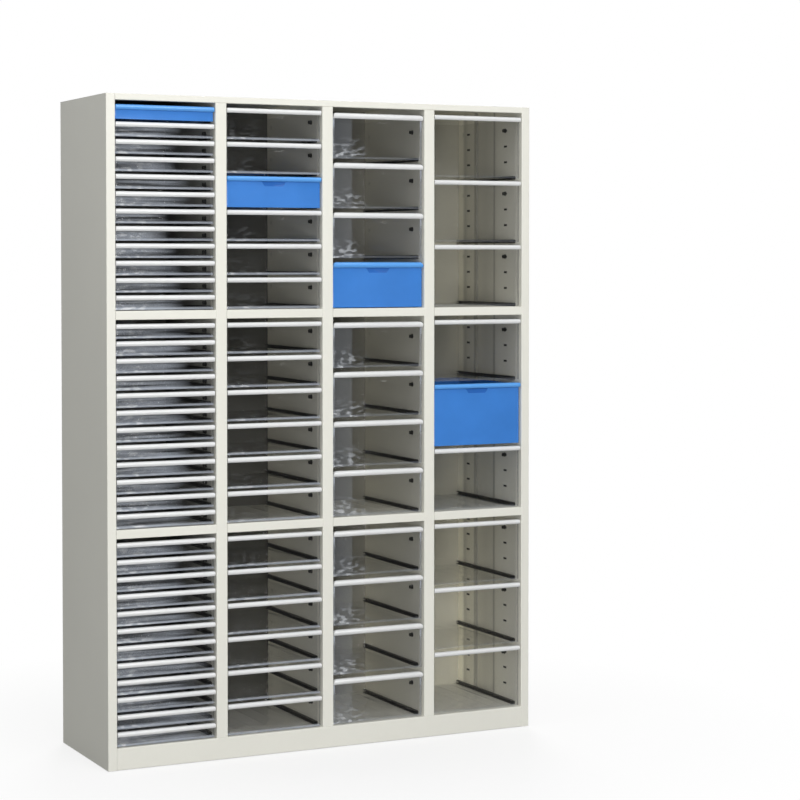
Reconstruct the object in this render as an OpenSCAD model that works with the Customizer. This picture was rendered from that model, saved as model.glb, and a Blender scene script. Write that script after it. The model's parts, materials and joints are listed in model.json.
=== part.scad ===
// Document cabinet: four columns and three tiers of clear drawers in a folded steel frame.
// Lengths are in millimetres. X runs across the front, Y from the front to the back, Z up.
// The origin is on the floor, under the middle of the cabinet.

/* [Frame] */
// Clear width of one column between its walls
column_w = 284; // [270:1:320]
// Overall depth
cab_d = 394; // [390:1:440]
// Width of the outer uprights' front faces
stile_w = 25; // [20:1:40]
// Width of the front faces between the columns
divider_w = 32; // [26:1:50]
// Height of the top edge
top_h = 17; // [14:1:40]
// Height of the bars between the tiers
bar_h = 24; // [18:1:40]
// Height of the lowest deck above the floor
base_h = 61; // [50:1:100]
// Thickness of the folded sheet
sheet = 1; // [0.8:0.1:1.4]
// Radius of the sheet's bends, along the middle of the sheet
bend_r = 1.5; // [1.2:0.1:2.5]
// Depth of the turned-in edge at each side of a column
hem_d = 34; // [24:1:34]
// Depth of the turned-in edges under the top and the bars
bar_hem_d = 20; // [10:1:30]
// Width of the rear flanges that carry the back
rear_flange_w = 18; // [12:1:24]
// Height of the flanges at the rear of the decks
deck_flange_h = 15; // [8:1:17]
// Gap between the ends of a hem and the lining behind it
seam = 0.5; // [0.2:0.1:1]
// Gap between the back and the bends of the side panels
back_clear = 0.5; // [0.3:0.1:2]

/* [Slotted linings] */
// Length of a slot, from front to back
slot_l = 20; // [8:1:24]
// Height of a slot
slot_h = 6; // [3:0.5:7]
// Distance of the front row of slots from the front
front_slots_y = 98; // [80:1:110]
// Distance of the rear row of slots from the front
rear_slots_y = 327; // [300:1:340]
// Where the pressed groove between the slot rows starts
groove_y = 168; // [130:1:190]
// Length of the pressed groove
groove_l = 112; // [90:1:120]
// Depth of the pressed groove
groove_depth = 5; // [3:0.5:8]
// Gap around a hook in its slot and behind the sheet
hook_clear = 0.5; // [0.3:0.1:0.7]
// Thickness of a hook behind the sheet
hook_t = 1.5; // [1:0.1:2.5]
// How far a hook reaches below the edge of its slot
hook_drop = 3; // [1.5:0.5:5]

/* [Drawers] */
// Height of one module, which a thin drawer fills
module_h = 46; // [44:0.5:60]
// Height left over above the modules of a tier
tier_slack = 6; // [4:0.5:8]
// Gap above the top lip of each column
top_gaps = [11, 11, 15, 12]; // [10:0.5:18]
// Height of the lip of each column's drawers
lip_heights = [14, 14, 17, 14]; // [10:0.5:18]
// Radius of the top corners of each column's fronts
corner_radii = [4, 4, 12, 4]; // [2:0.5:14]
// How far the lip stands out from the drawer's face
lip_out = 8; // [6:0.5:10]
// How far the lip lies behind the frame's front
lip_setback = 1.5; // [0.5:0.5:6]
// Width of the finger groove behind the lip
lip_groove_w = 3.5; // [2:0.5:3.8]
// Depth of the finger groove behind the lip
lip_groove_h = 5; // [2:0.5:7]
// Thickness of the drawer's front
front_t = 2.5; // [2:0.1:3.5]
// Depth of the edges that turn back from the front
front_edge_d = 9; // [5:1:14]
// Gap between the front and each wall of the column
front_gap_x = 2.5; // [1.5:0.5:4]
// Depth of the tray behind the drawer's face
tray_d = 355; // [320:1:360]
// Thickness of the tray's walls and floor
wall = 2; // [1.5:0.1:3]
// Radius of the tray's rear corners
tray_r = 10; // [5:1:20]
// How far the tray's rim lies below the lip's top
rim_drop = 3; // [2:0.5:8]
// Width of the bead around the rim
bead_w = 2; // [1:0.5:3]
// Height of the bead around the rim
bead_h = 2.5; // [1.5:0.5:4]
// Spacing of the ribs on the floor
rib_pitch = 48; // [30:1:60]
// Width of a floor rib
rib_w = 4; // [2:0.5:6]
// Height of a floor rib
rib_h = 1.2; // [0.6:0.2:2]
// Distance of the floor ribs from the front and rear walls
rib_inset = 14; // [10:1:40]
// Width of the finger recess at its upper edge
recess_w = 72; // [40:1:100]
// Height of the finger recess
recess_h = 13; // [8:1:16]
// Depth of the finger recess
recess_depth = 1.2; // [0.6:0.1:1.4]
// How much each end of the finger recess slopes in
recess_slope = 9; // [4:1:14]

/* [Runners] */
// Width of a runner rail, from the wall inwards
rail_w = 9; // [8:0.5:12]
// Height of a runner rail
rail_h = 10; // [9:0.5:11]
// Thickness of a rail's web and flanges
rail_t = 2; // [1.5:0.1:2.5]
// Distance of the rails from the front
rail_y = 36; // [35:1:50]
// Length of a rail
rail_l = 350; // [300:1:354]
// Gap under a drawer's foot
run_clear = 0.3; // [0.2:0.1:0.5]
// Gap between a rail and the tray's side
side_clear = 0.5; // [0.3:0.1:1]
// Gap between a drawer's foot and the rail's web and upper flange
foot_clear = 0.8; // [0.4:0.1:1.2]
// Thickness of a drawer's foot
foot_t = 2; // [1.5:0.1:2.5]
// Radius of a stop peg
peg_r = 5; // [3:0.5:6]
// Radius of a stop peg's collar
collar_r = 6.5; // [5:0.5:7.5]
// Thickness of a stop peg's collar
collar_t = 1.5; // [1:0.5:2]
// Gap between a stop peg and the tray
peg_clear = 1; // [0.6:0.1:2]
// Distance of the first three columns' stop pegs from the front
peg_ys = [76, 76, 76]; // [60:1:110]
// Distance of the first three columns' stop pegs below the middle of the lip
peg_drops = [16, 22, 36]; // [15:1:40]
// Length of the stop lugs at the rear of a drawer
lug_l = 8; // [5:1:14]
// Gap between a stop lug and the wall
lug_clear = 3.5; // [2.5:0.5:4]
// Gap left at a stop peg when a drawer is fully open
stop_clear = 0.5; // [0.3:0.1:1]

/* [Feet] */
// Height of the frame's lower edges above the floor
foot_gap = 2; // [1:0.5:6]
// Radius of a foot's pad
pad_r = 18; // [12:1:25]
// Height of a foot's pad
pad_h = 7; // [5:0.5:10]
// Bevel at the lower edge of a pad and at the top of a stud
foot_bevel = 1; // [0.5:0.1:2]
// Width of the flat ring on a pad around its stud
pad_ring = 3; // [1:0.5:5]
// Radius of a foot's threaded stud
stud_r = 5; // [4:0.5:6]
// Length of a foot's stud above the pad
stud_l = 36; // [25:1:40]
// Thickness of the boss around a stud
boss_t = 4; // [3:0.5:6]
// Gap between a stud and its boss
stud_clear = 0.2; // [0.1:0.05:0.4]
// Gap between a pad and the boss above it
boss_gap = 8; // [5:1:12]
// Distance of the outer feet from the cabinet's sides
foot_inset_x = 70; // [50:1:120]
// Distance of the feet from the front and the back
foot_inset_y = 55; // [40:1:90]

/* [Hidden] */
$fn = 48;
bend_steps = 4;
fit = 0.01;

// Modules that a drawer of each column takes, and how many modules and tiers there are
spans = [1, 2, 3, 4];
modules = 12;
tiers = 3;
columns = len(spans);

tier_h = modules * module_h + tier_slack;
cab_w = columns * column_w + (columns - 1) * divider_w + 2 * stile_w;
cab_h = base_h + tiers * tier_h + (tiers - 1) * bar_h + top_h;
front_y = -cab_d / 2;
half = sheet / 2;
// Depth from the front to the inner face of the back
back_y = cab_d - 2 * sheet;

face_y = lip_setback + lip_out;
tray_w = column_w - 2 * (rail_w + side_clear);
front_w = column_w - 2 * front_gap_x;
peg_l = rail_w + side_clear - peg_clear;
lift = rail_t + run_clear;
inner_foot_h = rail_h - 2 * rail_t - run_clear - foot_clear;
// Height of a slot's lower edge above the underside of a rail, so that the lowest hooks clear the deck
slots_z = hook_drop + hook_clear;

cream = "#e8e6d9";
clear_grey = "#b9c3c7";
clear_blue = "#3f86d8";
black = "#1d1d1d";

// Names of the pieces. Columns, tiers and rows count from the upper left.
function rows(c) = modules / spans[c];
function drawer_name(c, t, r) = str("drawer_c", c + 1, "_t", t + 1, "_r", r + 1);
function rest_name(t) = str("thin_drawers_t", t + 1);
function rails_name(c) = str("runner_rails_c", c + 1);
function own_rows(c) = c == 0 ? 1 : rows(c);
function is_blue(c, t, r) = [c, t, r] == [0, 0, 0] || [c, t, r] == [1, 0, 2]
    || [c, t, r] == [2, 0, 3] || [c, t, r] == [3, 1, 1];

// Places in the frame
function column_x(c) = -cab_w / 2 + stile_w + c * (column_w + divider_w);
function tier_z(t) = base_h + (tiers - 1 - t) * (tier_h + bar_h);
function front_h(c) = spans[c] * module_h - (top_gaps[c] - tier_slack + lift);
function lip_z(c) = front_h(c) - lip_heights[c] / 2;
// The right column's pegs sit in the front slots, one module below the top of their drawer
function has_slots(c) = c == columns - 1;
function peg_y(c) = has_slots(c) ? front_slots_y : peg_ys[c];
function peg_z(c) = has_slots(c)
    ? (spans[c] - 1) * module_h + slots_z + slot_h / 2 - lift
    : lip_z(c) - peg_drops[c];
function rim_z(c) = front_h(c) - rim_drop;
function drawer_z(c, t, r) =
    tier_z(t) + tier_h - top_gaps[c] - r * spans[c] * module_h - front_h(c);

// Folded sheet. A path is a list of points along the middle of the sheet.
function unit(v) = v / norm(v);
function reverse(p) = [for (i = [len(p) - 1:-1:0]) p[i]];
function cross_z(a, b) = a[0] * b[1] - a[1] * b[0];
function step_in(p, i) = unit(i > 0 ? p[i] - p[i - 1] : p[1] - p[0]);
function step_out(p, i) = unit(i < len(p) - 1 ? p[i + 1] - p[i] : p[i] - p[i - 1]);
function to_left(v) = [-v[1], v[0]];

// Point i of a path, moved by d to the left of the path
function beside(p, i, d) =
    let (a = to_left(step_in(p, i)), b = to_left(step_out(p, i)))
    p[i] + d * (a + b) / (1 + a * b);

// Points that round the corner at q, between p and s, with radius r
function rounded(p, q, s, r) =
    let (
        u = unit(p - q),
        v = unit(s - q),
        corner = acos(u * v) / 2,
        centre = q + unit(u + v) * r / sin(corner),
        start = q + u * r / tan(corner) - centre,
        angle = atan2(start[1], start[0]),
        turn = (cross_z(u, v) > 0 ? -1 : 1) * (180 - 2 * corner)
    )
    [for (i = [0:bend_steps])
        centre + r * [cos(angle + turn * i / bend_steps), sin(angle + turn * i / bend_steps)]];

// One side of a folded sheet, d to the left of the path, with its bends
function side_of(p, r, d) = [
    for (i = [0:len(p) - 1])
        each i == 0 || i == len(p) - 1
            ? [beside(p, i, d)]
            : rounded(
                beside(p, i - 1, d), beside(p, i, d), beside(p, i + 1, d),
                cross_z(step_in(p, i), step_out(p, i)) > 0 ? r - d : r + d
            )
];

module folded(path, t = sheet, r = bend_r)
    polygon(concat(side_of(path, r, t / 2), reverse(side_of(path, r, -t / 2))));

// An upright piece with the given plan, between two heights
module upright(z0, z1)
    translate([0, 0, z0])
        linear_extrude(z1 - z0)
            children();

// A piece that runs across the cabinet with the given section of depth and height
module across(x0, x1)
    translate([x0, 0, 0])
        rotate([90, 0, 90])
            linear_extrude(x1 - x0)
                children();

// A piece that runs from front to back with the given section of width and height
module lengthwise(y0, y1)
    translate([0, y1, 0])
        rotate([90, 0, 0])
            linear_extrude(y1 - y0)
                children();

// A block whose two rear corners are round, standing on its left front corner
module block(w, d, h, r) {
    cube([w, d - r, h]);
    translate([r, 0, 0])
        cube([w - 2 * r, d, h]);
    for (x = [r, w - r])
        translate([x, d - r, 0])
            cylinder(h = h, r = r);
}

module from_front_left()
    translate([-cab_w / 2, front_y, 0])
        children();

module from_front_right()
    mirror([1, 0, 0])
        from_front_left()
            children();

// Outer skin with its front upright, the hem beside the column and the rear flange
module side_skin()
    upright(foot_gap, cab_h - sheet)
        folded([
            [stile_w - half, hem_d],
            [stile_w - half, half],
            [half, half],
            [half, cab_d - half],
            [rear_flange_w, cab_d - half]
        ]);

module left_side_panel()
    color(cream)
        from_front_left()
            side_skin();

module right_side_panel()
    color(cream)
        from_front_right()
            side_skin();

// Flat inner wall of a side, from the hem to the back. Its face lies at x = 0, its folds behind.
lining_fold = 12;
lining_start = hem_d + seam + half;

module left_lining()
    color(cream)
        from_front_left()
            upright(foot_gap, cab_h - sheet)
                folded([
                    [stile_w - half - lining_fold, lining_start],
                    [stile_w - half, lining_start],
                    [stile_w - half, back_y - half],
                    [stile_w - half - lining_fold, back_y - half]
                ]);

// Inner wall with a pressed groove and two rows of slots, for a wall whose face is at x = face_x
module slotted_lining(face_x, z0, z1) {
    x = face_x - half;
    difference() {
        upright(z0, z1)
            folded([
                [x - lining_fold, lining_start],
                [x, lining_start],
                [x, groove_y],
                [x - groove_depth, groove_y + groove_depth],
                [x - groove_depth, groove_y + groove_l - groove_depth],
                [x, groove_y + groove_l],
                [x, back_y - half],
                [x - lining_fold, back_y - half]
            ]);
        for (t = [0:tiers - 1], i = [0:modules - 1], y = [front_slots_y, rear_slots_y])
            translate([x - sheet, y - slot_l / 2, tier_z(t) + i * module_h + slots_z])
                cube([2 * sheet, slot_l, slot_h]);
    }
}

module slotted_linings()
    color(cream) {
        from_front_right()
            slotted_lining(stile_w, foot_gap, cab_h - sheet);
        translate([column_x(columns - 1) - divider_w, front_y, 0])
            notched(divider_w)
                slotted_lining(divider_w, base_h, cab_h - sheet);
    }

// Cuts the place of the top's turned-in edge out of a divider or its lining
module notched(w)
    difference() {
        children();
        translate([-fit, -fit, cab_h - top_h])
            cube([w + 2 * fit, bar_hem_d + 2 * fit, top_h]);
    }

// Folded channel between two columns, open at the rear
module closed_divider()
    upright(base_h, cab_h - sheet)
        folded([
            [lining_fold, back_y - half],
            [half, back_y - half],
            [half, half],
            [divider_w - half, half],
            [divider_w - half, back_y - half],
            [divider_w - lining_fold, back_y - half]
        ]);

// The same channel with a hem in place of its right wall, which a lining closes
module open_divider()
    upright(base_h, cab_h - sheet)
        folded([
            [lining_fold, back_y - half],
            [half, back_y - half],
            [half, half],
            [divider_w - half, half],
            [divider_w - half, hem_d]
        ]);

module column_dividers()
    color(cream)
        for (c = [1:columns - 1])
            translate([column_x(c) - divider_w, front_y, 0])
                notched(divider_w)
                    if (c < columns - 1) closed_divider();
                    else open_divider();

module top_panel()
    color(cream)
        translate([0, front_y, 0]) {
            across(-cab_w / 2 + stile_w, cab_w / 2 - stile_w)
                folded([
                    [bar_hem_d, cab_h - top_h + half],
                    [half, cab_h - top_h + half],
                    [half, cab_h - half],
                    [hem_d, cab_h - half]
                ]);
            translate([-cab_w / 2, bend_r + half, cab_h - sheet])
                cube([cab_w, cab_d - bend_r - half, sheet]);
            for (x = [-cab_w / 2, cab_w / 2 - stile_w])
                translate([x, 0, cab_h - sheet])
                    cube([stile_w, hem_d, sheet]);
        }

// Bar and deck of one column, with its front face from z to z + bar_h
module deck(x, z)
    across(x, x + column_w)
        folded([
            [bar_hem_d, z + half],
            [half, z + half],
            [half, z + bar_h - half],
            [back_y - half, z + bar_h - half],
            [back_y - half, z + bar_h - deck_flange_h]
        ]);

module tier_decks()
    color(cream)
        translate([0, front_y, 0])
            for (c = [0:columns - 1], t = [0:tiers - 2])
                deck(column_x(c), tier_z(t) - bar_h);

// Places of the feet under the base
foot_xs = [-cab_w / 2 + foot_inset_x, 0, cab_w / 2 - foot_inset_x];
foot_ys = [foot_inset_y, cab_d - foot_inset_y];
boss_r = stud_r + stud_clear + boss_t;
boss_z = pad_h + boss_gap;

module base_deck()
    color(cream)
        translate([0, front_y, 0])
            difference() {
                union() {
                    across(-cab_w / 2 + stile_w, cab_w / 2 - stile_w)
                        folded([
                            [bar_hem_d, foot_gap + half],
                            [half, foot_gap + half],
                            [half, base_h - half],
                            [back_y - half, base_h - half],
                            [back_y - half, foot_gap]
                        ]);
                    for (x = foot_xs, y = foot_ys)
                        translate([x, y, boss_z])
                            cylinder(h = base_h - half - boss_z, r = boss_r);
                }
                for (x = foot_xs, y = foot_ys)
                    translate([x, y, boss_z - fit])
                        cylinder(h = base_h - sheet - boss_z, r = stud_r + stud_clear);
            }

module levelling_feet()
    color(black)
        translate([0, front_y, 0])
            for (x = foot_xs, y = foot_ys)
                translate([x, y, 0])
                    rotate_extrude()
                        polygon([
                            [0, 0],
                            [pad_r - foot_bevel, 0],
                            [pad_r, foot_bevel],
                            [pad_r, pad_h / 2],
                            [stud_r + pad_ring, pad_h],
                            [stud_r, pad_h],
                            [stud_r, pad_h + stud_l - foot_bevel],
                            [stud_r - foot_bevel, pad_h + stud_l],
                            [0, pad_h + stud_l]
                        ]);

// The back lies inside the rear flanges, clear of the bends that carry them
module back_panel() {
    w = cab_w - 2 * (bend_r + half + back_clear);
    color(cream)
        translate([-w / 2, front_y + back_y, foot_gap])
            cube([w, sheet, cab_h - sheet - foot_gap]);
}

// Section of a rail against a wall at x = 0, with its channel open towards the drawer
module rail_section()
    polygon([
        [0, 0], [rail_w, 0], [rail_w, rail_t], [rail_t, rail_t],
        [rail_t, rail_h - rail_t], [rail_w, rail_h - rail_t], [rail_w, rail_h], [0, rail_h]
    ]);

// Side view of a rail, whose front end is round so that a drawer's foot finds its way in
module rail_outline() {
    nose = rail_h / 2;
    polygon(concat(
        [[rail_l, 0], [rail_l, rail_h]],
        [for (i = [0:2 * bend_steps])
            nose * [1, 1] + nose * [
                -sin(180 * i / (2 * bend_steps)),
                cos(180 * i / (2 * bend_steps))
            ]]
    ));
}

module rail()
    intersection() {
        lengthwise(rail_y, rail_y + rail_l)
            rail_section();
        translate([0, rail_y, 0])
            across(-fit, rail_w + fit)
                rail_outline();
    }

// Hook that passes through a slot and hangs down behind the sheet. It starts at depth root_x inside
// its rail or peg, and the middle of the slot lies at y = 0 and z = 0.
module slot_hook(root_x) {
    l = slot_l - 2 * hook_clear;
    h = slot_h - 2 * hook_clear;
    reach = sheet + hook_clear + hook_t;
    translate([-reach, -l / 2, -h / 2]) {
        cube([reach + root_x, l, h]);
        translate([0, 0, -hook_clear - hook_drop])
            cube([hook_t, l, h + hook_clear + hook_drop]);
    }
}

// Both sides of each drawer's place in a column, as seen from its left wall
module at_both_walls(c)
    for (t = [0:tiers - 1], r = [0:rows(c) - 1])
        translate([column_x(c) + column_w / 2, front_y, drawer_z(c, t, r)])
            for (side = [0, 1])
                mirror([side, 0, 0])
                    translate([-column_w / 2, 0, 0])
                        children();

module runner_rails(c)
    color(black)
        at_both_walls(c)
            translate([0, 0, -lift]) {
                rail();
                if (has_slots(c))
                    for (y = [front_slots_y, rear_slots_y])
                        translate([0, y, slots_z + slot_h / 2])
                            slot_hook(rail_t / 2);
            }

module stop_pegs()
    color(black)
        for (c = [0:columns - 1])
            at_both_walls(c)
                translate([0, peg_y(c), peg_z(c)]) {
                    rotate([0, 90, 0]) {
                        cylinder(h = collar_t, r = collar_r);
                        cylinder(h = peg_l, r = peg_r);
                    }
                    if (has_slots(c))
                        slot_hook(collar_t / 2);
                }

// Foot along one side of a tray: a ledge that slides in the rail and turns up at its outer edge
module tray_foot() {
    tip = rail_t + foot_clear;
    root = rail_w + side_clear + wall / 2;
    lengthwise(rail_y + rail_h, face_y + tray_d - tray_r)
        polygon([
            [tip, 0], [root, 0], [root, foot_t], [tip + foot_t, foot_t],
            [tip + foot_t, inner_foot_h], [tip, inner_foot_h]
        ]);
}

// Lug at the rear of one side of a tray, which meets the stop peg
module stop_lug(c)
    translate([lug_clear, face_y + tray_d - tray_r - lug_l, peg_z(c) - peg_r])
        cube([rail_w + side_clear + wall / 2 - lug_clear, lug_l, 2 * peg_r]);

// Face, turned-back edges and half-round lip, with the rounded outline of the column's fronts
module drawer_front(c) {
    h = front_h(c);
    lip_r = lip_heights[c] / 2;
    edge = front_w / 2 - front_t / 2;
    intersection() {
        union() {
            difference() {
                upright(0, h)
                    folded([
                        [-edge, face_y + front_edge_d],
                        [-edge, face_y + front_t / 2],
                        [edge, face_y + front_t / 2],
                        [edge, face_y + front_edge_d]
                    ], front_t, front_t);
                if (spans[c] > 1)
                    lengthwise(face_y - fit, face_y + recess_depth)
                        translate([0, h - 2 * lip_r])
                            polygon([
                                [-recess_w / 2, fit], [recess_w / 2, fit],
                                [recess_w / 2 - recess_slope, -recess_h],
                                [-recess_w / 2 + recess_slope, -recess_h]
                            ]);
            }
            difference() {
                translate([-front_w / 2, lip_setback + lip_r, h - lip_r])
                    rotate([0, 90, 0])
                        cylinder(h = front_w, r = lip_r);
                translate([-front_w / 2 - fit, face_y + front_t, h - 2 * lip_r - fit])
                    cube([front_w + 2 * fit, lip_r, 2 * lip_r + 2 * fit]);
                translate([-front_w / 2 - fit, face_y - lip_groove_w, h - 2 * lip_r - fit])
                    cube([front_w + 2 * fit, lip_groove_w, lip_groove_h]);
            }
        }
        rotate([90, 0, 0])
            translate([-front_w / 2, 0, -face_y - front_edge_d - fit])
                block(front_w, h, face_y + front_edge_d, corner_radii[c]);
    }
}

// Open tray behind the front, with its rim bead, floor ribs, feet and stop lugs
module tray(c) {
    y0 = face_y + front_t / 2;
    d = tray_d - front_t / 2;
    rim = rim_z(c);
    difference() {
        union() {
            translate([-tray_w / 2, y0, 0])
                block(tray_w, d, rim, tray_r);
            translate([-tray_w / 2 - bead_w, face_y + front_edge_d, rim - bead_h])
                block(tray_w + 2 * bead_w, tray_d - front_edge_d + bead_w, bead_h, tray_r + bead_w);
        }
        translate([-tray_w / 2 + wall, face_y + front_t, wall])
            block(tray_w - 2 * wall, tray_d - front_t - wall, rim, tray_r - wall);
    }
    for (x = [-2:2])
        translate([x * rib_pitch - rib_w / 2, face_y + rib_inset, wall / 2])
            cube([rib_w, tray_d - 2 * rib_inset, wall / 2 + rib_h]);
    for (side = [0, 1])
        mirror([side, 0, 0])
            translate([-column_w / 2, 0, 0]) {
                tray_foot();
                stop_lug(c);
            }
}

module drawer(c, t, r)
    color(is_blue(c, t, r) ? clear_blue : clear_grey)
        translate([column_x(c) + column_w / 2, front_y, drawer_z(c, t, r)]) {
            drawer_front(c);
            tray(c);
        }

// The thin drawers of one tier below its first
module thin_drawers(t)
    for (r = [own_rows(0):rows(0) - 1])
        drawer(0, t, r);

left_side_panel();
right_side_panel();
left_lining();
slotted_linings();
column_dividers();
top_panel();
tier_decks();
base_deck();
back_panel();
levelling_feet();
stop_pegs();
for (c = [0:columns - 1])
    runner_rails(c);
for (t = [0:tiers - 1])
    thin_drawers(t);
for (c = [0:columns - 1], t = [0:tiers - 1], r = [0:own_rows(c) - 1])
    drawer(c, t, r);
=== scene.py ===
import json
from math import radians

import bmesh
import bpy
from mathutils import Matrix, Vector


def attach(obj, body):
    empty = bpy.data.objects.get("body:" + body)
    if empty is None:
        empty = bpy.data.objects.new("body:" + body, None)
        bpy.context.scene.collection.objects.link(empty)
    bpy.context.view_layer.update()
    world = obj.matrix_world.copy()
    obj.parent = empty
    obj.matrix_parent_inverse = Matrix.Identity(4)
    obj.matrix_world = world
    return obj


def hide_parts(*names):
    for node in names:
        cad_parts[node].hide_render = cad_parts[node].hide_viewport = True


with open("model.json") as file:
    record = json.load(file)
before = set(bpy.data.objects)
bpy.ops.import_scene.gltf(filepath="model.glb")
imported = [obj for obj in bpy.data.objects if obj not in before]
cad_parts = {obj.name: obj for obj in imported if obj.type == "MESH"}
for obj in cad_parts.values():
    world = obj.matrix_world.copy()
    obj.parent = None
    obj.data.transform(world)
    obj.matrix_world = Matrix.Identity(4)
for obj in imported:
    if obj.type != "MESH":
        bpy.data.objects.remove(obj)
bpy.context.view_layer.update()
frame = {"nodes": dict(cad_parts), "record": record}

# Document cabinet: powder-coated steel, clear moulded drawers and black rails. All sizes are in metres.

nodes = frame["nodes"]
bodyOf = {node: body for body, held in frame["record"]["behaviour"]["bodies"].items() for node in held}
steelNodes = [n for n in nodes if n.endswith(("panel", "lining", "linings", "dividers", "deck", "decks"))]
insideNodes = ["left_lining", "column_dividers", "tier_decks", "back_panel", "top_panel"]
railNodes = [n for n in nodes if n.startswith("runner_rails")]
drawerNodes = sorted(n for n in nodes if "drawer" in n)
blueNodes = {s["node"] for s in frame["record"]["subparts"] if s["material_slot"] == "blue_plastic"}


# Node helpers

def put(tree, kind, **values):
    made = tree.nodes.new(kind)
    for name, value in values.items():
        setattr(made, name, value)
    return made


def feed(tree, socket, value):
    if isinstance(value, bpy.types.NodeSocket):
        tree.links.new(value, socket)
    elif value is not None:
        socket.default_value = value


def maths(tree, operation, first, second=None, clamp=False):
    made = put(tree, "ShaderNodeMath", operation=operation, use_clamp=clamp)
    feed(tree, made.inputs[0], first)
    feed(tree, made.inputs[1], second)
    return made.outputs[0]


def mixColour(tree, blend, factor, first, second):
    made = put(tree, "ShaderNodeMix", data_type="RGBA", blend_type=blend)
    feed(tree, made.inputs[0], factor)
    feed(tree, made.inputs[6], first)
    feed(tree, made.inputs[7], second)
    return made.outputs[2]


def noise(tree, where, scale, detail):
    made = put(tree, "ShaderNodeTexNoise")
    feed(tree, made.inputs["Vector"], where)
    feed(tree, made.inputs["Scale"], scale)
    feed(tree, made.inputs["Detail"], detail)
    return made.outputs["Fac"]


def stretchedNoise(tree, where, grain, detail):
    # grain holds the scale along each axis
    made = put(tree, "ShaderNodeVectorMath", operation="MULTIPLY")
    feed(tree, made.inputs[0], where)
    feed(tree, made.inputs[1], grain)
    return noise(tree, made.outputs[0], 1.0, detail)


def spread(tree, value, fromLow, fromHigh, toLow, toHigh):
    made = put(tree, "ShaderNodeMapRange")
    feed(tree, made.inputs["Value"], value)
    ends = {"From Min": fromLow, "From Max": fromHigh, "To Min": toLow, "To Max": toHigh}
    for name, number in ends.items():
        feed(tree, made.inputs[name], number)
    return made.outputs["Result"]


def around(tree, fromNoise, low, high):
    # Most of a noise lies between 0.3 and 0.7
    return spread(tree, fromNoise, 0.3, 0.7, low, high)


def partsOf(tree, vector):
    made = put(tree, "ShaderNodeSeparateXYZ")
    feed(tree, made.inputs[0], vector)
    return made.outputs


def toneAlong(tree, value, stops):
    # A grey that follows a coordinate, from stops of (place, tone)
    low, high = stops[0][0], stops[-1][0]
    made = put(tree, "ShaderNodeValToRGB")
    points = made.color_ramp.elements
    for index, (at, tone) in enumerate(stops):
        point = points[index] if index < 2 else points.new(1.0)
        point.position, point.color = (at - low) / (high - low), (tone, tone, tone, 1)
    feed(tree, made.inputs[0], spread(tree, value, low, high, 0.0, 1.0))
    return made.outputs["Color"]


def bump(tree, height, distance):
    made = put(tree, "ShaderNodeBump")
    feed(tree, made.inputs["Height"], height)
    feed(tree, made.inputs["Distance"], distance)
    return made.outputs["Normal"]


def newGroup(name, inputs, outputs):
    tree = bpy.data.node_groups.new(name, "ShaderNodeTree")
    for socketName, kind, value in inputs:
        socket = tree.interface.new_socket(socketName, in_out="INPUT", socket_type="NodeSocket" + kind)
        if value is not None:
            socket.default_value = value
    for socketName, kind in outputs:
        tree.interface.new_socket(socketName, in_out="OUTPUT", socket_type="NodeSocket" + kind)
    return tree, put(tree, "NodeGroupInput").outputs, put(tree, "NodeGroupOutput").inputs


def useGroup(tree, group, **values):
    made = put(tree, "ShaderNodeGroup", node_tree=group)
    for name, value in values.items():
        feed(tree, made.inputs[name], value)
    return made.outputs


def newMaterial(name):
    material = bpy.data.materials.new(name)
    material.use_nodes = True
    tree = material.node_tree
    tree.nodes.clear()
    where = put(tree, "ShaderNodeTexCoord").outputs["Object"]
    return material, tree, where, put(tree, "ShaderNodeOutputMaterial").inputs["Surface"]


def principled(tree, **values):
    made = put(tree, "ShaderNodeBsdfPrincipled")
    for name, value in values.items():
        feed(tree, made.inputs[name], value)
    return made


# Effects that several finishes share

# Scales are per metre. A ramp holds the two values it goes from and the two it goes to
coatGrain = {"driftScale": 2.3, "mottleScale": 60.0, "toneDetail": 3.0, "mottleShare": 0.25,
             "roughnessSwing": 0.08, "peelScale": 620.0, "peelDetail": 1.5}


def buildPowderCoat():
    # Slow drift of tone, faint mottle and the orange peel of a baked powder coat
    tree, given, result = newGroup(
        "powderCoat",
        [("Vector", "Vector", None), ("Colour", "Color", (0.8, 0.8, 0.8, 1)), ("Drift", "Float", 0.04),
         ("Roughness", "Float", 0.4)],
        [("Colour", "Color"), ("Roughness", "Float"), ("Height", "Float")],
    )
    where, grain = given["Vector"], coatGrain
    slow = around(tree, noise(tree, where, grain["driftScale"], grain["toneDetail"]), -0.5, 0.5)
    mottle = around(tree, noise(tree, where, grain["mottleScale"], grain["toneDetail"]), -0.5, 0.5)
    both = maths(tree, "ADD", slow, maths(tree, "MULTIPLY", mottle, grain["mottleShare"]))
    shade = maths(tree, "ADD", maths(tree, "MULTIPLY", both, given["Drift"]), 1.0)
    feed(tree, result["Colour"], mixColour(tree, "MULTIPLY", 1.0, given["Colour"], shade))
    swing = maths(tree, "MULTIPLY", mottle, grain["roughnessSwing"])
    feed(tree, result["Roughness"], maths(tree, "ADD", given["Roughness"], swing))
    feed(tree, result["Height"], noise(tree, where, grain["peelScale"], grain["peelDetail"]))
    return tree


mouldGrain = {"flow": (6.0, 6.0, 40.0), "scuffs": (30.0, 900.0, 900.0), "scuffRamp": (0.62, 0.8, 0.0, 1.0),
              "lineDetail": 2.0, "cloudScale": 9.0, "cloudDetail": 3.0, "scuffRoughness": 0.12}


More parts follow.
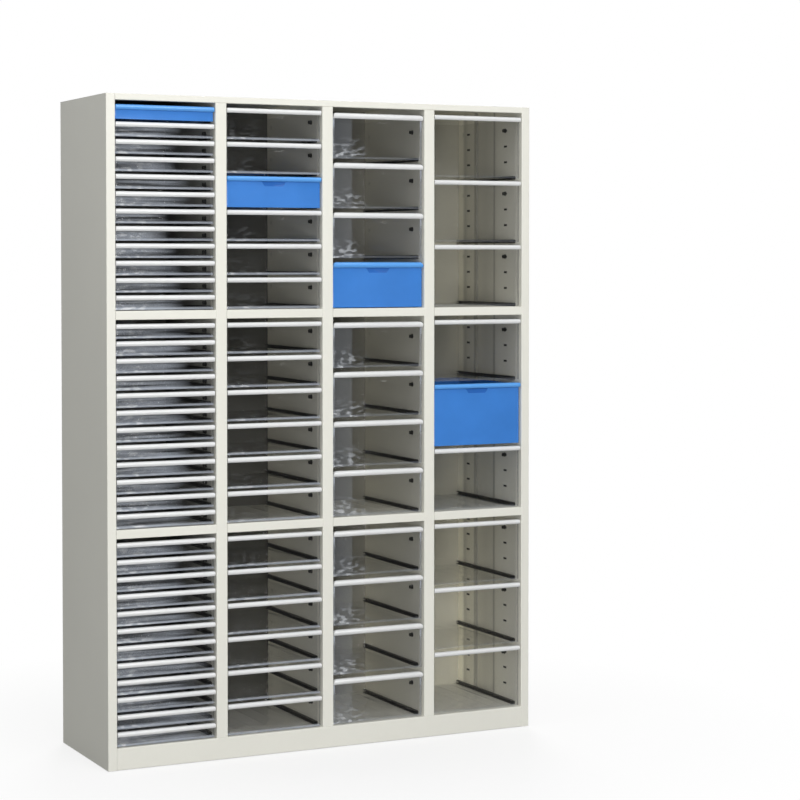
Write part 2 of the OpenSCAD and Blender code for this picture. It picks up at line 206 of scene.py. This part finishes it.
def buildMoulding():
    # Flow lines, hairline scuffs and cloudy patches of a moulded plastic
    tree, given, result = newGroup(
        "moulding",
        [("Vector", "Vector", None), ("Roughness", "Float", 0.1)],
        [("Cloud", "Float"), ("Roughness", "Float"), ("Height", "Float")],
    )
    where, grain = given["Vector"], mouldGrain
    feed(tree, result["Height"], stretchedNoise(tree, where, grain["flow"], grain["lineDetail"]))
    lines = stretchedNoise(tree, where, grain["scuffs"], grain["lineDetail"])
    rougher = maths(tree, "MULTIPLY", spread(tree, lines, *grain["scuffRamp"]), grain["scuffRoughness"])
    feed(tree, result["Roughness"], maths(tree, "ADD", given["Roughness"], rougher))
    feed(tree, result["Cloud"], noise(tree, where, grain["cloudScale"], grain["cloudDetail"]))
    return tree


dustGrain = {"scale": 30.0, "detail": 5.0, "patches": (0.35, 0.75, 0.3, 1.0), "facing": (0.5, 1.0, 0.0, 1.0)}


def buildSettledDust():
    # Dust on whatever faces up
    tree, given, result = newGroup(
        "settledDust", [("Vector", "Vector", None), ("Amount", "Float", 0.3)], [("Mask", "Float")],
    )
    normal = partsOf(tree, put(tree, "ShaderNodeNewGeometry").outputs["Normal"])
    up = spread(tree, normal["Z"], *dustGrain["facing"])
    cover = noise(tree, given["Vector"], dustGrain["scale"], dustGrain["detail"])
    patchy = maths(tree, "MULTIPLY", up, spread(tree, cover, *dustGrain["patches"]))
    feed(tree, result["Mask"], maths(tree, "MULTIPLY", patchy, given["Amount"]))
    return tree


# The painted streaks of reflected light end farther to the left in the lower trays, as the ramp called drift
# says
gleamShape = {"frontY": -0.178, "halfTray": 0.1325, "drift": (0.75, 0.35, 0.1325, 0.09),
              "wander": (1.0, 3.0, 11.0), "wanderBy": 0.04, "streaks": (4.0, 4.0, 130.0),
              "streakRamp": (0.36, 0.64, 0.15, 1.9), "bandEdge": (0.0, 0.006, 1.0, 0.0),
              "glints": (48.0, 60.0, 105.0), "glintRamp": (0.50, 0.62, 0.0, 1.0),
              "glintHeight": (0.012, 0.062, 1.0, 0.0), "glintWidth": (-0.075, -0.02, 1.0, 0.0),
              "rimFrom": 0.1335, "rimFade": (0.026, 0.052, 1.0, 0.22), "footFade": (0.003, 0.0075, 1.0, 0.0)}


def buildPaintedTrayGleam():
    # Painted highlights and reflections on a clear tray: streaks, a band, glints, a rim and a line at its
    # foot. Tray holds
    # three distances: from the middle of its width, above its underside and below its top
    tree, given, result = newGroup(
        "paintedTrayGleam",
        [("Vector", "Vector", None), ("Tray", "Vector", None), ("Reach", "Float", 0.4),
         ("Soft", "Float", 0.2)],
        [("Streaks", "Float"), ("Band", "Float"), ("Glints", "Float"), ("Rim", "Float"), ("Foot", "Float")],
    )
    where, shape = given["Vector"], gleamShape
    place, tray = partsOf(tree, where), partsOf(tree, given["Tray"])
    onFront = maths(tree, "LESS_THAN", place["Y"], shape["frontY"])

    by = shape["wanderBy"]
    wander = around(tree, stretchedNoise(tree, where, shape["wander"], 1.0), -by, by)
    drift = spread(tree, place["Z"], *shape["drift"])
    across = maths(tree, "ADD", maths(tree, "ADD", tray["X"], wander), drift)
    beyond = maths(tree, "DIVIDE", maths(tree, "SUBTRACT", across, given["Reach"]), given["Soft"])
    left = maths(tree, "SUBTRACT", 1.0, beyond, clamp=True)
    fine = spread(tree, stretchedNoise(tree, where, shape["streaks"], 3.0), *shape["streakRamp"])
    feed(tree, result["Streaks"], maths(tree, "MULTIPLY", left, fine))

    edge = maths(tree, "SUBTRACT", given["Reach"], shape["halfTray"])
    band = spread(tree, maths(tree, "SUBTRACT", tray["X"], edge), *shape["bandEdge"])
    feed(tree, result["Band"], maths(tree, "MULTIPLY", band, onFront))

    waves = spread(tree, stretchedNoise(tree, where, shape["glints"], 3.0), *shape["glintRamp"])
    low = spread(tree, tray["Y"], *shape["glintHeight"])
    corner = maths(tree, "MULTIPLY", low, spread(tree, tray["X"], *shape["glintWidth"]))
    feed(tree, result["Glints"], maths(tree, "MULTIPLY", corner, waves))

    outer = maths(tree, "GREATER_THAN", maths(tree, "ABSOLUTE", tray["X"]), shape["rimFrom"])
    rim = maths(tree, "MULTIPLY", maths(tree, "MULTIPLY", outer, onFront),
                spread(tree, tray["Z"], *shape["rimFade"]))
    feed(tree, result["Rim"], rim)
    foot = spread(tree, tray["Y"], *shape["footFade"])
    feed(tree, result["Foot"], maths(tree, "MULTIPLY", foot, onFront))
    return tree


powderCoat, moulding, settledDust = buildPowderCoat(), buildMoulding(), buildSettledDust()
paintedTrayGleam = buildPaintedTrayGleam()
dustColour = (0.55, 0.53, 0.49, 1)


# Finishes

# The inner colour is the warm tint of the painted shade inside the columns; the hollow colour is painted
# shade inside the hollow side posts
steel = {"colour": (0.775, 0.765, 0.695, 1), "drift": 0.035, "roughness": 0.42, "peel": 0.00006, "dust": 0.12,
         "inner": (1.0, 0.965, 0.80, 1), "insideShadeFrom": -0.190, "insideShadeTo": 0.16, "topFace": 1.7995,
         "hollowShade": (0.012, 0.011, 0.010, 1), "hollowShadeFrom": 0.63, "sheen": 0.5, "innerSheen": 0.25,
         "dustRoughness": 0.5, "facing": 0.5, "inwards": -0.3}
# Painted shade inside the columns, from the left column to the right one, at the middles of the walls and of
# the back
wallShadeTones = [(-0.332, 0.03), (-0.016, 0.95), (0.300, 0.78), (0.616, 0.88)]
backShadeTones = [(-0.474, 0.06), (-0.158, 0.09), (0.158, 0.055), (0.474, 0.57)]
# Painted shade by height: the lowest tier is painted the lightest inside
heightShadeTones = [(0.25, 1.30), (0.62, 1.12), (0.80, 0.90), (1.60, 0.84)]
# Painted shade and highlight on a slotted wall from its front to its rear: painted darker in the folds of the
# groove and just before the rear corner, painted lighter at the rear corner
foldShadeTones = [(-0.178, 1.04), (-0.120, 1.10), (-0.060, 1.08), (-0.040, 1.0), (-0.033, 0.60), (-0.025, 0.62),
             (-0.015, 0.98), (0.030, 0.88), (0.074, 0.94), (0.080, 0.55), (0.088, 0.60), (0.096, 1.02),
             (0.130, 0.94), (0.152, 0.72), (0.168, 1.20), (0.192, 1.15)]


def makeCreamSteel(name, shadedInside=False, slotted=False):
    # Painted shade: the walls inside the columns are painted darker towards the back, and the inward faces of
    # the hollow side posts are painted near black
    material, tree, where, surface = newMaterial(name)
    colour = steel["colour"]
    place = partsOf(tree, where)
    facing = partsOf(tree, put(tree, "ShaderNodeNewGeometry").outputs["Normal"])
    if shadedInside:
        # Painted shade inside the columns: darker towards the back, and set by column and by tier, with a
        # warm tint
        deep = spread(tree, place["Y"], steel["insideShadeFrom"], steel["insideShadeTo"], 0.0, 1.0)
        notRear = maths(tree, "LESS_THAN", facing["Y"], steel["facing"])
        notTop = maths(tree, "LESS_THAN", place["Z"], steel["topFace"])
        paintedShadeMask = maths(tree, "MULTIPLY", deep, maths(tree, "MULTIPLY", notRear, notTop))
        wall, back = toneAlong(tree, place["X"], wallShadeTones), toneAlong(tree, place["X"], backShadeTones)
        tone = mixColour(tree, "MIX", maths(tree, "LESS_THAN", facing["Y"], -steel["facing"]), wall, back)
        tone = mixColour(tree, "MULTIPLY", 1.0, tone, toneAlong(tree, place["Z"], heightShadeTones))
        inner = mixColour(tree, "MULTIPLY", 1.0, steel["inner"], tone)
        colour = mixColour(tree, "MIX", paintedShadeMask, steel["colour"], inner)
    else:
        # Painted shade: the inward faces of the hollow side posts are painted near black
        inwards = maths(tree, "LESS_THAN", maths(tree, "MULTIPLY", facing["X"], place["X"]), steel["inwards"])
        atPanel = maths(tree, "GREATER_THAN", maths(tree, "ABSOLUTE", place["X"]), steel["hollowShadeFrom"])
        hollowShade = maths(tree, "MULTIPLY", inwards, atPanel)
        colour = mixColour(tree, "MIX", hollowShade, steel["colour"], steel["hollowShade"])
    if slotted:
        # Painted shade in the folds and a painted highlight at the rear corner of the slotted wall
        colour = mixColour(tree, "MULTIPLY", 1.0, colour, toneAlong(tree, place["Y"], foldShadeTones))
    coat = useGroup(tree, powderCoat, Vector=where, Colour=colour, Drift=steel["drift"],
                    Roughness=steel["roughness"])
    dust = useGroup(tree, settledDust, Vector=where, Amount=steel["dust"])["Mask"]
    paint = principled(tree)
    feed(tree, paint.inputs["Specular IOR Level"], steel["innerSheen" if shadedInside else "sheen"])
    feed(tree, paint.inputs["Base Color"], mixColour(tree, "MIX", dust, coat["Colour"], dustColour))
    rougher = maths(tree, "MULTIPLY", dust, steel["dustRoughness"])
    feed(tree, paint.inputs["Roughness"], maths(tree, "ADD", coat["Roughness"], rougher))
    feed(tree, paint.inputs["Normal"], bump(tree, coat["Height"], steel["peel"]))
    feed(tree, surface, paint.outputs[0])
    return material


railBlack = {"colour": (0.006, 0.006, 0.006, 1), "roughness": 0.42, "dust": 0.05, "tone": (0.8, 1.25),
             "grainScale": 1500.0, "grainDetail": 1.0, "grain": 0.00002}


def makeBlackPlastic():
    material, tree, where, surface = newMaterial("black_moulded_plastic")
    mould = useGroup(tree, moulding, Vector=where, Roughness=railBlack["roughness"])
    dust = useGroup(tree, settledDust, Vector=where, Amount=railBlack["dust"])["Mask"]
    tone = around(tree, mould["Cloud"], *railBlack["tone"])
    black = mixColour(tree, "MULTIPLY", 1.0, railBlack["colour"], tone)
    body = principled(tree)
    feed(tree, body.inputs["Base Color"], mixColour(tree, "MIX", dust, black, dustColour))
    feed(tree, body.inputs["Roughness"], mould["Roughness"])
    grain = noise(tree, where, railBlack["grainScale"], railBlack["grainDetail"])
    feed(tree, body.inputs["Normal"], bump(tree, grain, railBlack["grain"]))
    feed(tree, surface, body.outputs[0])
    return material


seeThrough = {"cloudy": (0.92, 1.08), "blend": 0.5, "falloff": 5.0}


def makeSeeThrough(name, look):
    # A thin wall: a veil that lets most light through, under a surface that mirrors more towards its edges
    material, tree, where, surface = newMaterial(name)
    mould = useGroup(tree, moulding, Vector=where, Roughness=look["roughness"])
    dustAndGleam = useGroup(tree, settledDust, Vector=where, Amount=look["dust"])["Mask"]
    dustAndGleamTone = dustColour
    # Painted highlights and reflections of the trays are added to the dust in the veil's alpha and colour
    if "gleam" in look:
        tray = put(tree, "ShaderNodeAttribute", attribute_name="fromTray").outputs["Vector"]
        light = useGroup(tree, paintedTrayGleam, Vector=where, Tray=tray, Reach=look["reach"], Soft=look["soft"])
        dustAndGleamTone = mixColour(tree, "MIX", light["Glints"], look["gleamTone"], look["glintTone"])
        for part, amount in look["gleam"].items():
            dustAndGleam = maths(tree, "ADD", dustAndGleam, maths(tree, "MULTIPLY", light[part], amount))
    density = maths(tree, "MULTIPLY", around(tree, mould["Cloud"], *seeThrough["cloudy"]), look["density"])
    alpha = maths(tree, "ADD", density, dustAndGleam, clamp=True)
    share = maths(tree, "DIVIDE", dustAndGleam, alpha)
    veil = principled(tree)
    feed(tree, veil.inputs["Base Color"], mixColour(tree, "MIX", share, look["veil"], dustAndGleamTone))
    feed(tree, veil.inputs["Roughness"], mould["Roughness"])
    feed(tree, veil.inputs["Specular IOR Level"], look["gloss"])
    feed(tree, veil.inputs["Alpha"], alpha)
    mirror = put(tree, "ShaderNodeBsdfGlossy")
    feed(tree, mirror.inputs["Roughness"], mould["Roughness"])
    feed(tree, mirror.inputs["Normal"], bump(tree, mould["Height"], look["wave"]))
    edge = put(tree, "ShaderNodeLayerWeight")
    feed(tree, edge.inputs["Blend"], seeThrough["blend"])
    grazing = maths(tree, "POWER", edge.outputs["Facing"], seeThrough["falloff"])
    outside = maths(tree, "SUBTRACT", 1.0, put(tree, "ShaderNodeNewGeometry").outputs["Backfacing"])
    shine = spread(tree, grazing, 0.0, 1.0, look["shine"], look["edgeShine"])
    whole = put(tree, "ShaderNodeMixShader")
    feed(tree, whole.inputs[0], maths(tree, "MULTIPLY", shine, outside))
    feed(tree, whole.inputs[1], veil.outputs[0])
    feed(tree, whole.inputs[2], mirror.outputs[0])
    feed(tree, surface, whole.outputs[0])
    return material


def makeLip(name, look):
    material, tree, where, surface = newMaterial(name)
    mould = useGroup(tree, moulding, Vector=where, Roughness=look["roughness"])
    tone = around(tree, mould["Cloud"], *look["tone"])
    body = principled(tree)
    feed(tree, body.inputs["Base Color"], mixColour(tree, "MULTIPLY", 1.0, look["colour"], tone))
    feed(tree, body.inputs["Roughness"], mould["Roughness"])
    feed(tree, body.inputs["Coat Weight"], look["coat"])
    feed(tree, body.inputs["Coat Roughness"], look["coatRoughness"])
    feed(tree, body.inputs["Normal"], bump(tree, mould["Height"], look["wave"]))
    feed(tree, surface, body.outputs[0])
    return material


clearLook = {"veil": (0.03, 0.03, 0.028, 1), "density": 0.05, "roughness": 0.07, "shine": 0.013,
             "edgeShine": 0.7, "wave": 0.0004, "dust": 0.015, "gloss": 0.5}
blueLook = {"veil": (0.056, 0.241, 0.70, 1), "density": 0.85, "roughness": 0.16, "shine": 0.011,
            "edgeShine": 0.17, "wave": 0.0004, "dust": 0.02, "gloss": 0.5}
# Painted highlight: the cut edges of the fronts get a lighter, denser veil. Painted shade: the blue finger
# recess gets a darker, denser veil, while the clear recess only mirrors less
clearEdgeHighlightLook = {**clearLook, "veil": (0.72, 0.72, 0.70, 1), "density": 0.39, "shine": 0.014,
                 "edgeShine": 0.45}
clearRecessLook = {**clearLook, "shine": 0.008, "edgeShine": 0.12}
blueEdgeHighlightLook = {**blueLook, "veil": (0.091, 0.33, 0.786, 1), "density": 0.93, "shine": 0.006,
                "edgeShine": 0.09}
# Painted shade in the blue finger recess
blueRecessShadeLook = {**blueLook, "veil": (0.032, 0.146, 0.494, 1), "density": 0.93, "shine": 0.0015,
                  "edgeShine": 0.015, "gloss": 0.05}
whiteLipLook = {"colour": (0.76, 0.765, 0.765, 1), "roughness": 0.22, "coat": 0.4, "coatRoughness": 0.06,
                "wave": 0.00008, "tone": (0.97, 1.02)}
blueLipLook = {**whiteLipLook, "colour": (0.105, 0.36, 0.83, 1), "roughness": 0.2}
# Painted highlights and reflections differ from column to column; the thin trays get the strongest painted
# streaks
gleams = [
    {"reach": 0.115, "soft": 0.07, "gleam": {"Streaks": 0.16, "Foot": 0.40}},
    {"reach": 0.03, "soft": 0.05, "gleam": {"Glints": 0.03, "Foot": 0.40}},
    {"reach": 0.050, "soft": 0.02, "gleam": {"Band": 0.06, "Glints": 0.22, "Rim": 0.6, "Foot": 0.10}},
    {"reach": 0.03, "soft": 0.05, "gleam": {"Glints": 0.02, "Foot": 0.06}},
]
gleamTones = {"gleamTone": (0.50, 0.54, 0.61, 1), "glintTone": (0.90, 0.93, 0.97, 1)}

print("finishes")
creamSteel = makeCreamSteel("cream_powder_coat")
shadedInsideSteel = makeCreamSteel("inner_powder_coat_painted_shade", shadedInside=True)
slottedShadedSteel = makeCreamSteel("slotted_powder_coat_painted_shade", shadedInside=True, slotted=True)
blackPlastic = makeBlackPlastic()
whiteLip, clearEdgeHighlight = makeLip("white_lip", whiteLipLook), makeSeeThrough("clear_edge_highlight", clearEdgeHighlightLook)
clearRecess = makeSeeThrough("clear_recess", clearRecessLook)
clearSets = []
for column, gleam in enumerate(gleams):
    look = {**clearLook, **gleamTones, **gleam}
    clearBody = makeSeeThrough(f"clear_moulded_plastic_c{column + 1}", look)
    clearSets.append([clearBody, whiteLip, clearEdgeHighlight, clearBody if column == 2 else clearRecess])
blueSet = [makeSeeThrough("blue_moulded_plastic", blueLook), makeLip("blue_lip", blueLipLook),
           makeSeeThrough("blue_edge_highlight", blueEdgeHighlightLook), makeSeeThrough("blue_recess_shade", blueRecessShadeLook)]


def dress(obj, *materials):
    obj.data.materials.clear()
    for material in materials:
        obj.data.materials.append(material)


for name in steelNodes:
    inner = shadedInsideSteel if name in insideNodes else creamSteel
    dress(nodes[name], slottedShadedSteel if "slotted" in name else inner)
for name in [*railNodes, "stop_pegs", "levelling_feet"]:
    dress(nodes[name], blackPlastic)


# Drawers: each stands for its moulding, with softened edges and its lip in its own finish

drawerShape = {"lipHeights": [0.014, 0.014, 0.017, 0.014], "lipDepth": 0.0099, "slack": 0.0002,
               "face": 0.008, "faceSlack": 0.00005, "recessWidth": 0.074, "recessHeight": 0.0135,
               "recessDepth": 0.00135, "frontWidth": 0.279, "frontDepth": 0.0172, "edge": 0.0006}
# Angles are in degrees
softening = {"width": 0.0004, "segments": 2, "weld": 0.000001, "flat": 0.4, "bevelFrom": 40, "sharpFrom": 38}


def solidsOf(bm):
    waiting, found = set(bm.verts), []
    while waiting:
        frontier = [waiting.pop()]
        solid = set(frontier)
        while frontier:
            for linked in frontier.pop().link_edges:
                for vert in linked.verts:
                    if vert in waiting:
                        waiting.discard(vert)
                        solid.add(vert)
                        frontier.append(vert)
        found.append(solid)
    return found


def partOf(place, low, high, middle, lipHeight):
    # 0 tray and face, 1 lip, 2 cut edges of the front, 3 finger recess
    shape = drawerShape
    edgeFrom = shape["frontWidth"] / 2 - shape["edge"]
    depth, below, aside = place.y - low, high - lipHeight - place.z, abs(place.x - middle)
    if below < shape["slack"] and depth < shape["lipDepth"]:
        return 1
    if depth < shape["frontDepth"] and aside > edgeFrom:
        return 2
    onRecess = shape["face"] + shape["faceSlack"] < depth < shape["face"] + shape["recessDepth"]
    if onRecess and below < shape["recessHeight"] and aside < shape["recessWidth"] / 2:
        return 3
    return 0


def makeDrawer(name):
    column = 0 if "thin" in name else int(name.split("_c")[1][0]) - 1
    lipHeight = drawerShape["lipHeights"][column]
    bm = bmesh.new()
    bm.from_mesh(nodes[name].data)
    bmesh.ops.remove_doubles(bm, verts=bm.verts, dist=softening["weld"])
    bmesh.ops.dissolve_limit(bm, angle_limit=radians(softening["flat"]), verts=bm.verts, edges=bm.edges)
    fromTray = bm.verts.layers.float_vector.new("fromTray")
    for solid in solidsOf(bm):
        high, low = max(v.co.z for v in solid), min(v.co.y for v in solid)
        bottom = min(v.co.z for v in solid)
        middle = (max(v.co.x for v in solid) + min(v.co.x for v in solid)) / 2
        for vert in solid:
            vert[fromTray] = (vert.co.x - middle, vert.co.z - bottom, high - vert.co.z)
        for face in {f for v in solid for f in v.link_faces}:
            face.material_index = partOf(face.calc_center_median(), low, high, middle, lipHeight)
    mesh = bpy.data.meshes.new(name + "_moulding")
    piece = bpy.data.objects.new(name + "_moulding", mesh)
    bpy.context.collection.objects.link(piece)
    dress(piece, *(blueSet if name in blueNodes else clearSets[column]))
    bm.to_mesh(mesh)
    bm.free()
    soften = piece.modifiers.new("soften", "BEVEL")
    soften.width = softening["width"]
    soften.segments = softening["segments"]
    soften.limit_method = "ANGLE"
    soften.angle_limit = radians(softening["bevelFrom"])
    soften.harden_normals = False
    for polygon in mesh.polygons:
        polygon.use_smooth = True
    mesh.set_sharp_from_angle(angle=radians(softening["sharpFrom"]))
    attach(piece, bodyOf[name])
    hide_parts(name)


print("drawers")
for name in drawerNodes:
    makeDrawer(name)


# Studio: pale floor, soft light and the camera

studio = {"floor": (0.90, 0.90, 0.89, 1), "paler": (0.93, 0.93, 0.92, 1), "bounce": (0.24, 0.24, 0.23, 1),
          "roughness": 0.7, "patchScale": 3.0, "patchDetail": 4.0, "size": 30.0, "white": (1, 1, 1, 1),
          "light": (0.96, 0.98, 1.0, 1), "lightStrength": 0.30, "fadeFrom": 0.4, "fadeTo": 1.5, "glow": 0.72}


def makeFloor():
    bm = bmesh.new()
    bmesh.ops.create_grid(bm, x_segments=1, y_segments=1, size=studio["size"])
    mesh = bpy.data.meshes.new("floor")
    bm.to_mesh(mesh)
    bm.free()
    floor = bpy.data.objects.new("floor", mesh)
    bpy.context.collection.objects.link(floor)
    material, tree, where, surface = newMaterial("pale_floor")
    matt = principled(tree, Roughness=studio["roughness"])
    patches = noise(tree, where, studio["patchScale"], studio["patchDetail"])
    tone = mixColour(tree, "MIX", patches, studio["floor"], studio["paler"])
    seen = put(tree, "ShaderNodeLightPath").outputs["Is Camera Ray"]
    feed(tree, matt.inputs["Base Color"], mixColour(tree, "MIX", seen, studio["bounce"], tone))
    distance = put(tree, "ShaderNodeVectorMath", operation="LENGTH")
    feed(tree, distance.inputs[0], where)
    glow = put(tree, "ShaderNodeEmission")
    feed(tree, glow.inputs["Color"], studio["white"])
    faded = put(tree, "ShaderNodeMixShader")
    far = spread(tree, distance.outputs["Value"], studio["fadeFrom"], studio["fadeTo"], studio["glow"], 1.0)
    feed(tree, faded.inputs[0], maths(tree, "MULTIPLY", far, seen))
    feed(tree, faded.inputs[1], matt.outputs[0])
    feed(tree, faded.inputs[2], glow.outputs[0])
    feed(tree, surface, faded.outputs[0])
    dress(floor, material)


def makeWorld():
    # The eye sees white; the object is lit by a softer grey
    world = bpy.data.worlds.new("studio")
    world.use_nodes = True
    tree = world.node_tree
    tree.nodes.clear()
    light, seen = put(tree, "ShaderNodeBackground"), put(tree, "ShaderNodeBackground")
    feed(tree, light.inputs["Color"], studio["light"])
    feed(tree, light.inputs["Strength"], studio["lightStrength"])
    feed(tree, seen.inputs["Color"], studio["white"])
    chosen = put(tree, "ShaderNodeMixShader")
    feed(tree, chosen.inputs[0], put(tree, "ShaderNodeLightPath").outputs["Is Camera Ray"])
    feed(tree, chosen.inputs[1], light.outputs[0])
    feed(tree, chosen.inputs[2], seen.outputs[0])
    feed(tree, put(tree, "ShaderNodeOutputWorld").inputs["Surface"], chosen.outputs[0])
    bpy.context.scene.world = world


lamps = {
    "frontSoftbox": {"at": (0.1, -5.0, 3.3), "to": (0.1, 0.0, 0.95), "size": (3.0, 2.2), "power": 126},
    "frontFill": {"at": (-2.4, -5.4, 0.5), "to": (0.0, 0.0, 0.8), "size": (2.2, 2.2), "power": 158},
    "topSoftbox": {"at": (0.0, -1.6, 4.2), "to": (0.0, 0.0, 0.9), "size": (3.0, 1.6), "power": 25},
    "sideFill": {"at": (-4.5, -0.8, 4.2), "to": (-0.6, 0.0, 1.7), "size": (2.0, 1.6), "power": 46},
    "rearFill": {"at": (2.2, 4.8, 2.8), "to": (0.1, 0.0, 0.9), "size": (2.4, 2.0), "power": 150},
}


def aim(obj, at, to):
    obj.location = at
    obj.rotation_euler = (Vector(to) - Vector(at)).to_track_quat("-Z", "Y").to_euler()


def makeLamps():
    for name, lamp in lamps.items():
        data = bpy.data.lights.new(name, "AREA")
        data.shape = "RECTANGLE"
        data.size, data.size_y = lamp["size"]
        data.energy = lamp["power"]
        obj = bpy.data.objects.new(name, data)
        bpy.context.collection.objects.link(obj)
        aim(obj, lamp["at"], lamp["to"])


# Angles are in degrees, lens and sensor in millimetres
camera = {"at": (-2.501, -5.684, 1.364), "turn": 26.4, "down": 1.62, "lens": 97.97, "sensor": 36.0,
          "shift": -0.1}


def makeCamera():
    data = bpy.data.cameras.new("camera")
    data.sensor_width = camera["sensor"]
    data.lens = camera["lens"]
    data.shift_y = camera["shift"]
    obj = bpy.data.objects.new("camera", data)
    bpy.context.collection.objects.link(obj)
    obj.location = camera["at"]
    obj.rotation_euler = (radians(90 - camera["down"]), 0, radians(-camera["turn"]))
    bpy.context.scene.camera = obj


print("studio")
makeFloor()
makeWorld()
makeLamps()
makeCamera()
bpy.context.scene.view_settings.view_transform = "Standard"
bpy.context.scene.cycles.transparent_max_bounces = 32
